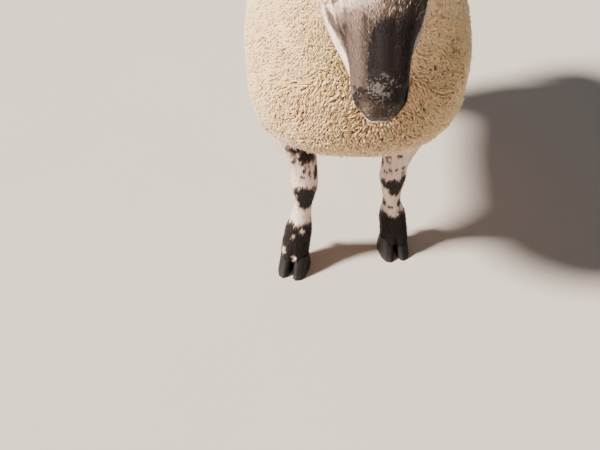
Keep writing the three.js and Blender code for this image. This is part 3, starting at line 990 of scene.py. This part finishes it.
def grow(name, spots, form, path, radius, span, marks):
    """
    A piece of many tufts. path(t) gives each tuft's points and side directions at a share t of its length,
    radius(t) its two half widths there, span its length, and marks are numbers kept with each tuft.
    """
    shape, faces = form
    count, size = spots.count, len(shape)
    points, inner = np.empty((2, count, size, 3), np.float32)
    apart = (np.arange(count) * GOLDEN % 1)[:, None] * [1, 7, 3]
    for i, (x, y, t) in enumerate(shape):
        place, side, face = path(t)
        wide, thick = radius(t)
        points[:, i] = place + side * (x * wide)[:, None] + face * (y * thick)[:, None]
        inner[:, i] = np.stack([x * wide, y * thick, t * span], axis=1) + apart
    index = (faces[None] + (np.arange(count) * size)[:, None, None]).reshape(-1, 3).astype(np.int32)
    mesh = bpy.data.meshes.new(name)
    mesh.vertices.add(count * size)
    mesh.vertices.foreach_set("co", points.ravel())
    mesh.loops.add(index.size)
    mesh.loops.foreach_set("vertex_index", index.ravel())
    mesh.polygons.add(len(index))
    mesh.polygons.foreach_set("loop_start", np.arange(0, index.size, 3, dtype=np.int32))
    mesh.update(calc_edges=True)
    for key, values in marks.items():
        paint(mesh, key, np.repeat(values, size))
    paint(mesh, "height", np.tile(shape[:, 2], count))
    paint(mesh, "fibre", inner.reshape(-1, 3))
    angle = np.arctan2(shape[:, 1], shape[:, 0]) / math.tau + 0.5
    local = (np.stack([angle, shape[:, 2]], axis=1) - 0.5) * PATCH
    layer = mesh.uv_layers.new(name="OFBake")
    patch = (spots.flat[:, None] + local[None]).reshape(-1, 2)
    layer.data.foreach_set("uv", np.clip(patch[index.ravel()], 0, 1).astype(np.float32).ravel())
    mesh.validate()
    return link(name, mesh)


def wool_material(settings):
    """Crimped wool: matte, with fine wavy fibres, paler at the tips with painted shade towards the roots, and greasy
    yellow in places.
    """
    fleece = settings.fleece
    material, add = new_material("crimped_wool")
    words = ("height", "tone", "yolk")
    height, tone, yolk = (add("Attribute", attribute_name=word).outputs["Fac"] for word in words)
    inner = add("Attribute", attribute_name="fibre").outputs["Vector"]
    # Painted shade: the wool darkens from the tips towards the roots, deep in the fleece.
    rise = add("MapRange", {"Value": height, "From Min": 0.2, "From Max": 0.7})
    clean = add("Mix", {"Factor": rise, "A": fleece.root, "B": fleece.tip}, data_type="RGBA")
    greasy = add("Mix", {"Factor": yolk, "A": clean, "B": fleece.stain}, data_type="RGBA")
    # fibres 0.7 mm apart, crimped every 3.3 mm: coarser than real ones, so that they show
    drawn = add("Mapping", {"Vector": inner, "Scale": (1.0, 1.0, 0.14)})
    strands = add("TexNoise", {"Vector": drawn, "Scale": 1500.0, "Detail": 2.0})
    shade = add("MapRange", {"Value": strands, "From Min": 0.3, "From Max": 0.6, "To Min": 0.94})
    lit = add("Math", {0: shade, 1: tone}, operation="MULTIPLY")
    toned = add("HueSaturation", {"Color": greasy, "Value": lit})
    waves = {"Vector": inner, "Scale": 95.0, "Distortion": 2.5, "Detail": 1.0}
    crimp = add("TexWave", waves, bands_direction="Z").outputs["Fac"]
    both = add("Math", {0: crimp, 1: 0.35, 2: strands}, operation="MULTIPLY_ADD")
    relief = add("Bump", {"Strength": 0.9, "Distance": 1.0 * MM, "Height": both})
    return finished(material, {
        "Base Color": toned,
        "Normal": relief,
        "Roughness": 0.9,
        "Specular IOR Level": 0.25,
        "Sheen Weight": 0.25,
        "Sheen Roughness": 0.5,
        "Subsurface Weight": 0.65,
        "Subsurface Radius": (1.0, 0.9, 0.8),
        "Subsurface Scale": 5 * MM,
    })


def flow(points, size, seed):
    """A direction that wanders smoothly from place to place."""
    return np.stack([roughly(points, size, seed + k) for k in range(3)], axis=1)


def across(vectors, normals):
    """What is left of the vectors beside the normals."""
    return vectors - normals * np.einsum("nd,nd->n", vectors, normals)[:, None]


FRONT_TO_BACK = (-120 * MM, 180 * MM)  # the locks are finest ahead of this, and coarsest behind
THROAT = np.array([-58, -298, 590]) * MM  # where the yolk shows most
LOCK = {0.0: 0.9, 0.36: 1.05, 0.62: 0.95, 0.84: 0.62, 1.0: 0.0}  # how thick a lock is along its length
BEND = 0.58  # how far along its length a lock turns over
STRAYS, STRAY_WIDTH = 0.09, 0.27  # the share of locks that are thin stray fibres, and how thin
FLEECE_BANDS = {  # the pieces of the fleece, and where each one ends, from front to back
    "neck": -0.30, "breast": -0.19, "shoulder": -0.04, "ribs": 0.13, "loin": 0.30, "rump": math.inf
}


class EWE_OT_fleece(bpy.types.Operator):
    """Locks of crimped wool from the skin out to her outline, with a few stray fibres"""

    bl_idname = "ewe.fleece"
    bl_label = "Fleece"

    def execute(self, context):
        settings = context.scene.ewe
        fleece = settings.fleece
        rng = np.random.default_rng(settings.seed)
        skin = bpy.data.objects["skin"].data
        surface = Surface(skin)
        wool = read(skin, "wool")
        depth = norm(read(skin, "outline") - surface.points)
        spacing = np.interp(surface.points[:, 1], FRONT_TO_BACK, (fleece.front_spacing, fleece.back_spacing))
        spacing *= np.clip(depth / (7 * MM), 0.7, 1) * (0.7 + 0.3 * ramp(wool, 0.3, 1.0))
        spacing *= 1.6 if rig.quick() else 1.0
        spots = Spots(surface, (wool > 0.35).astype(float), spacing, rng)
        material = wool_material(settings)
        form = tuft_form(3, list(LOCK)[1:])
        ahead = -math.inf
        for word, behind in FLEECE_BANDS.items():
            band = (spots.outline[:, 1] >= ahead) & (spots.outline[:, 1] < behind)
            ahead = behind
            for side, hand in SIDES:
                part = spots.only(band & (spots.outline[:, 0] * side > 0))
                piece = wool_locks(f"fleece_{word}_{hand}", part, fleece, form, rng)
                finish_piece(piece, material, "fleece")
        return {"FINISHED"}


def wool_locks(name, spots, fleece, form, rng):
    """Short locks that rise from the skin and lie over at their tips, in drifts that run together."""
    n = spots.count
    reach = spots.outline - spots.root
    depth = norm(reach)
    fall = np.tanh(spots.outline[:, :1] / (90 * MM)) * [0.5, 0, 0] + [0, 0.25, -0.9]
    drift = 1.2 * fall + flow(spots.outline, 34 * MM, 11) + 0.5 * flow(spots.outline, 10 * MM, 14)
    lie = unit(across(drift, spots.normal) + 0.32 * across(rng.normal(size=(n, 3)), spots.normal))
    aside = np.cross(spots.normal, lie)
    spin = rng.uniform(0, math.tau, n)
    size = np.clip(rng.normal(1, 0.18, n), 0.6, 1.45) * spots.gap / fleece.back_spacing
    stray = rng.random(n) < STRAYS
    width = fleece.width * size / 2 * np.where(stray, STRAY_WIDTH, 1)
    full = np.interp(spots.outline[:, 1], FRONT_TO_BACK, (fleece.fullness, 1.0))
    tall = full * np.clip(rng.normal(0.97, 0.055, n), 0.8, 1.08) + np.where(stray, 0.45 * rng.random(n), 0)
    lay = fleece.lay * size * rng.uniform(0.7, 1.25, n)
    coil = 1.6 * MM * size * np.where(rng.random(n) < 0.5, 1, -1) * rng.uniform(0.5, 1.2, n)

    def path(t):
        rise = 1 - max(0.0, 1 - t / BEND) ** 2 - 0.4 * max(0.0, t - BEND) ** 1.2
        place = spots.root + reach * (tall * rise)[:, None]
        place = place + lie * (lay * max(0.0, t - 0.25) ** 1.2 / 0.75**1.2)[:, None]
        place = place + aside * (coil * math.sin(9.0 * t))[:, None]
        turn = 0.35 * np.sin(spin)
        side = aside * np.cos(turn)[:, None] + lie * np.sin(turn)[:, None]
        away = unit(spots.normal * max(0.25, t) + lie * (1 - t))
        return place, side, away if t > 0.5 else np.cross(spots.normal, side)

    def radius(t):
        swell = np.interp(t, list(LOCK), list(LOCK.values()))
        return width * swell, width * swell * 0.85

    yolky = ramp(norm(spots.outline - THROAT), 75 * MM, 15 * MM)
    marks = {
        "tone": np.clip(rng.normal(1, 0.04, n), 0.88, 1.1),
        "yolk": np.clip(0.15 + 0.4 * roughly(spots.outline, 60 * MM, 20) + 0.45 * yolky, 0, 0.8),
    }
    return grow(name, spots, form, path, radius, depth + lay, marks)


def lie_of_hair(points, normals, ear, leg):
    """Which way the short hair lies: up the face, out along the ears, and down the legs."""
    side = np.tanh((points[:, :1] - BETWEEN_EYES[0]) / (6 * MM))
    back = ALONG + OUT * (0.25 * side)
    tipward = side * [0.84, 0, 0] + [0, 0.14, 0.52]
    lie = np.where(leg[:, None] > 0.5, [0, 0.1, -1.0], np.where(ear[:, None] > 0.5, tipward, back))
    return unit(across(lie, normals))


def hair_tufts(name, spots, long, wide, lift, form, rng, lie, marks):
    """Thin flat blades that lie along the skin."""
    n = spots.count
    lie = unit(across(lie + 0.22 * rng.normal(size=(n, 3)), spots.normal))
    aside = np.cross(spots.normal, lie)
    span = long * rng.uniform(0.7, 1.2, n)
    half = wide * rng.uniform(0.75, 1.2, n) / 2
    raised = lift * rng.uniform(0.6, 1.4, n)

    def path(t):
        rise = (raised * span + 0.5 * MM) * math.sin(t * 1.9) - 0.5 * MM
        return spots.root + lie * (span * t)[:, None] + spots.normal * rise[:, None], aside, spots.normal

    def radius(t):
        return half * (1 - 0.55 * t), half * 0.45 * (1 - 0.4 * t)

    return grow(name, spots, form, path, radius, span, marks)


class EWE_OT_hair(bpy.types.Operator):
    """Short hair that lies flat on the face, ears and legs"""

    bl_idname = "ewe.hair"
    bl_label = "Short hair"

    def execute(self, context):
        settings = context.scene.ewe
        hair = settings.hair
        rng = np.random.default_rng(settings.seed + 1)
        skin = bpy.data.objects["skin"].data
        surface = Surface(skin)
        masks = {word: read(skin, word) for word in (*MARKS, "ear", "leg", "bare")}
        hairy = masks["wool"] < 0.4
        on_leg = masks["leg"] >= 0.5
        head = hairy & ~on_leg & (masks["pink"] < 0.4) & (masks["bare"] < 0.3)
        legs = hairy & on_leg & (surface.points[:, 2] > 14 * MM)
        closer = 0.62 + 0.38 * ramp(in_head(surface.points)[:, 0], 30 * MM, 90 * MM)
        closer = np.where(masks["leg"] > 0.5, 1.0, closer) * (2.0 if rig.quick() else 1.0)
        material = hair_material(settings, "short_hair", 0.3)
        form = tuft_form(3, (0.5, 1.0))
        jobs = (
            ("hair_head", "face_hair", head, hair.face_spacing, hair.face_length, 0.9 * MM, 0.10),
            ("hair_legs", "white_hair", legs, hair.leg_spacing, hair.leg_length, 1.3 * MM, 0.12),
        )
        for name, slot, where, spacing, long, wide, lift in jobs:
            spots = Spots(surface, where.astype(float), spacing * closer, rng)
            here = {word: spots.mixed(mask) for word, mask in masks.items()}
            lie = lie_of_hair(spots.root, spots.normal, here["ear"], here["leg"])
            along, out, _ = in_head(spots.root).T / MM
            fine = np.where(here["leg"] > 0.5, 1.0, 0.42 + 0.58 * ramp(along, 10, 110))
            fine = np.where(here["ear"] > 0.5, 0.5, fine)
            # where black meets white, some tufts are of the one colour and some of the other
            dark = rng.random(spots.count) < np.clip(here["black"] * 1.08 - 0.02, 0, 1)
            split = 0.3 + 0.45 * ramp(out, -24, -17) * (here["leg"] < 0.5)
            marks = {
                "black": (1 - split) * here["black"] + split * dark,
                "pink": here["pink"],
                "dust": here["dust"] * (rng.random(spots.count) < 0.7),
                "wool": np.zeros(spots.count),
                "tone": np.clip(rng.normal(1, 0.13, spots.count), 0.7, 1.35),
            }
            piece = hair_tufts(name, spots, long * fine, wide * fine**0.7, lift, form, rng, lie, marks)
            finish_piece(piece, material, slot)
        return {"FINISHED"}


# ---------------- eyes and hooves

CORNEA = 1.1 * MM  # how far it bulges from the ball
RINGS = 4.5 * MM  # from one growth ring of the horn to the next


def eye_material(settings, side, word):
    """A wet eye: a dark rim, an amber iris with fine spokes, and a level slot of a pupil."""
    eye = settings.eye
    material, add = new_material(f"wet_eye_{word}")
    gaze = eye_axes(side)[0]
    level = unit(np.cross(gaze, [0, 0, 1]))
    place = add("TexCoord").outputs["Object"]
    arm = add("VectorMath", {0: place, 1: EYES[side]}, operation="SUBTRACT")
    x = add("VectorMath", {0: arm, 1: level / EYE_RADIUS}, operation="DOT_PRODUCT")
    y = add("VectorMath", {0: arm, 1: np.cross(gaze, level) / EYE_RADIUS}, operation="DOT_PRODUCT")
    flat = add("CombineXYZ", {0: x, 1: y})
    slot = add("VectorMath", {0: flat, 1: (1.7, 4.4, 0)}, operation="MULTIPLY")
    slot_size = add("VectorMath", {0: slot}, operation="LENGTH")
    iris_size = add("VectorMath", {0: flat}, operation="LENGTH")
    spokes = add("TexNoise", {"Vector": place, "Scale": 900.0, "Detail": 3.0})  # 1.1 mm apart
    rim = add("MapRange", {"Value": iris_size, "From Min": 0.66, "From Max": 0.82})
    hole = add("MapRange", {"Value": slot_size, "From Min": 1.1, "From Max": 0.95})
    colours = eye.iris
    for share, over in ((spokes, [c * 0.4 for c in eye.iris]), (rim, eye.rim), (hole, eye.pupil)):
        colours = add("Mix", {"Factor": share, "A": colours, "B": over}, data_type="RGBA")
    return finished(material, {
        "Base Color": colours,
        "Roughness": 0.08,
        "Coat Weight": 0.1,
        "Coat Roughness": 0.02,
        "Specular IOR Level": 0.12,
        "IOR": 1.38,
    })


class EWE_OT_eyes(bpy.types.Operator):
    """Two wet eyeballs with a bulging cornea and a level pupil"""

    bl_idname = "ewe.eyes"
    bl_label = "Eyes"

    def execute(self, context):
        for side, word in SIDES:
            gaze, nose, brow = eye_axes(side)
            bm = bmesh.new()
            bmesh.ops.create_uvsphere(bm, u_segments=48, v_segments=32, radius=EYE_RADIUS)
            for vert in bm.verts:
                vert.co.z += CORNEA * max(0.0, vert.co.z / EYE_RADIUS) ** 6
            turn = Matrix((nose, brow * side, gaze)).transposed().to_4x4()
            bmesh.ops.transform(bm, verts=bm.verts, matrix=Matrix.Translation(EYES[side]) @ turn)
            bmesh.ops.recalc_face_normals(bm, faces=bm.faces)
            piece = link(f"eyeball_{word}", mesh_from(bm, f"eyeball_{word}"))
            finish_piece(piece, eye_material(context.scene.ewe, side, word), "eye")
            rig.replaces(piece, f"eye_{word}")
        return {"FINISHED"}


def horn_material(settings):
    """Hoof horn: dark, dull, ringed by growth, and scuffed pale where it meets the ground."""
    hoof = settings.hoof
    material, add = new_material("hoof_horn")
    place = add("TexCoord").outputs["Object"]
    # fine rings 2 mm apart, and scuffs 6 mm across
    stretched = add("Mapping", {"Vector": place, "Scale": (140.0, 140.0, 520.0)})
    rings = add("TexNoise", {"Vector": stretched, "Scale": 1.0, "Detail": 4.0})
    height = add("SeparateXYZ", {0: place}).outputs["Z"]
    wear = add("MapRange", {"Value": height, "From Min": 14 * MM, "From Max": 0.0})
    low = add("Math", {0: wear, 1: rings}, operation="MULTIPLY")
    streaks = add("TexNoise", {"Vector": place, "Scale": 160.0, "Detail": 5.0, "Roughness": 0.7})
    dusty = add("MapRange", {"Value": streaks, "From Min": 0.52, "From Max": 0.8, "To Max": 0.5})
    horn = hoof.horn
    for share in (low, dusty):
        horn = add("Mix", {"Factor": share, "A": horn, "B": hoof.worn}, data_type="RGBA")
    relief = add("Bump", {"Strength": 0.5, "Distance": 0.5 * MM, "Height": rings})
    look = {"Base Color": horn, "Normal": relief, "Roughness": 0.58, "Specular IOR Level": 0.25}
    return finished(material, look)


class EWE_OT_hooves(bpy.types.Operator):
    """Eight claws and eight dewclaws of ringed horn"""

    bl_idname = "ewe.hooves"
    bl_label = "Hooves"

    def execute(self, context):
        settings = context.scene.ewe
        material = horn_material(settings)
        for name in HORN:
            piece = link(f"horn_{name}", copy_of([name]))
            applied(piece, "REMESH", mode="VOXEL", voxel_size=settings.hoof.voxel)
            surface = Surface(piece.data)
            low = surface.points[:, 2].min()
            free = ramp(surface.points[:, 2], low + 1 * MM, low + 4 * MM) if "hoof" in name else 1.0
            surface.smooth(8, 0.5 * free)
            ring = np.sin(surface.points[:, 2] / RINGS * math.tau + roughly(surface.points, 20 * MM, 30))
            surface.points += surface.normals() * (0.22 * MM * ring * free)[:, None]
            surface.points[:, 2] = np.maximum(surface.points[:, 2], 0)
            surface.store()
            applied(piece, "DECIMATE", ratio=0.35)
            finish_piece(piece, material, "horn")
            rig.replaces(piece, name)
        return {"FINISHED"}


# ---------------- the stage

CAMERA_FROM_EYES = (-99 * MM, -918.6 * MM, 456.2 * MM)
CAMERA_PITCH = math.radians(43)  # below level
LENS = 47.8  # mm, on a frame 36 mm wide
KEY_FROM = (-0.76, -0.15, 0.63)  # towards the key light


def floor_material(settings):
    """Pale painted concrete: matte, with very faint clouds about half a metre across."""
    material, add = new_material("painted_concrete")
    place = add("TexCoord").outputs["Object"]
    clouds = add("TexNoise", {"Vector": place, "Scale": 2.2, "Detail": 5.0})
    pale = settings.stage.floor
    mixed = add("Mix", {"Factor": clouds, "A": pale, "B": [c * 0.93 for c in pale]}, data_type="RGBA")
    return finished(material, {"Base Color": mixed, "Roughness": 0.85})


class EWE_OT_stage(bpy.types.Operator):
    """A pale floor, a soft key light from her right, light from all round, and the camera"""

    bl_idname = "ewe.stage"
    bl_label = "Stage"

    def execute(self, context):
        settings = context.scene.ewe
        bm = bmesh.new()
        bmesh.ops.create_circle(bm, cap_ends=True, segments=96, radius=9)
        bmesh.ops.translate(bm, verts=bm.verts, vec=(0, 0, -0.5 * MM))
        floor = link("floor", mesh_from(bm, "floor"))
        floor.data.materials.append(floor_material(settings))
        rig.stage(floor)

        key = bpy.data.lights.new("key", "SUN")
        key.energy = settings.stage.key
        key.angle = math.radians(9)
        key.color = (1.0, 0.92, 0.82)
        link("key", key).rotation_euler = Vector(KEY_FROM).to_track_quat("Z", "Y").to_euler()

        world = bpy.data.worlds.new("studio")
        world.use_nodes = True
        sky = world.node_tree.nodes["Background"].inputs
        sky["Color"].default_value = (0.93, 0.96, 1.0, 1)
        sky["Strength"].default_value = settings.stage.fill
        context.scene.world = world

        camera = link("camera", bpy.data.cameras.new("camera"))
        camera.data.sensor_width = 36
        camera.data.lens = LENS
        camera.location = BETWEEN_EYES + CAMERA_FROM_EYES
        camera.rotation_euler = (math.pi / 2 - CAMERA_PITCH, 0, 0)
        context.scene.camera = camera
        return {"FINISHED"}


# ---------------- the add-on


class EWE_PT_panel(bpy.types.Panel):
    """The ewe's pieces and their settings"""

    bl_label = "Kerry Hill ewe"
    bl_idname = "EWE_PT_panel"
    bl_space_type = "VIEW_3D"
    bl_region_type = "UI"
    bl_category = "Ewe"

    def draw(self, context):
        settings = context.scene.ewe
        for operator, group in (
            (EWE_OT_skin, None),
            (EWE_OT_fleece, settings.fleece),
            (EWE_OT_hair, settings.hair),
            (EWE_OT_eyes, settings.eye),
            (EWE_OT_hooves, settings.hoof),
            (EWE_OT_stage, settings.stage),
        ):
            box = self.layout.box()
            box.operator(operator.bl_idname)
            for name in group.bl_rna.properties.keys() if group else ():
                if name not in ("rna_type", "name"):
                    box.prop(group, name)


CLASSES = (
    FleeceSettings, HairSettings, EyeSettings, HoofSettings, StageSettings, EweSettings,
    EWE_OT_skin, EWE_OT_fleece, EWE_OT_hair, EWE_OT_eyes, EWE_OT_hooves, EWE_OT_stage, EWE_PT_panel,
)


def register():
    """Makes the settings, operators and panel known to Blender."""
    for each in CLASSES:
        bpy.utils.register_class(each)
    bpy.types.Scene.ewe = PointerProperty(type=EweSettings)


def unregister():
    """Takes them out again."""
    del bpy.types.Scene.ewe
    for each in reversed(CLASSES):
        bpy.utils.unregister_class(each)


def main():
    """Builds the ewe and her studio, and writes the two boxes."""
    register()
    bpy.ops.ewe.skin()
    bpy.ops.ewe.fleece()
    bpy.ops.ewe.hair()
    bpy.ops.ewe.eyes()
    bpy.ops.ewe.hooves()
    bpy.ops.ewe.stage()
    boxes = {"cad": CAD_BOX, "visual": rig.bounds()}
    with open("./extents.json", "w") as file:
        json.dump({key: [list(map(float, corner)) for corner in box] for key, box in boxes.items()}, file)


if __name__ == "__main__":
    main()
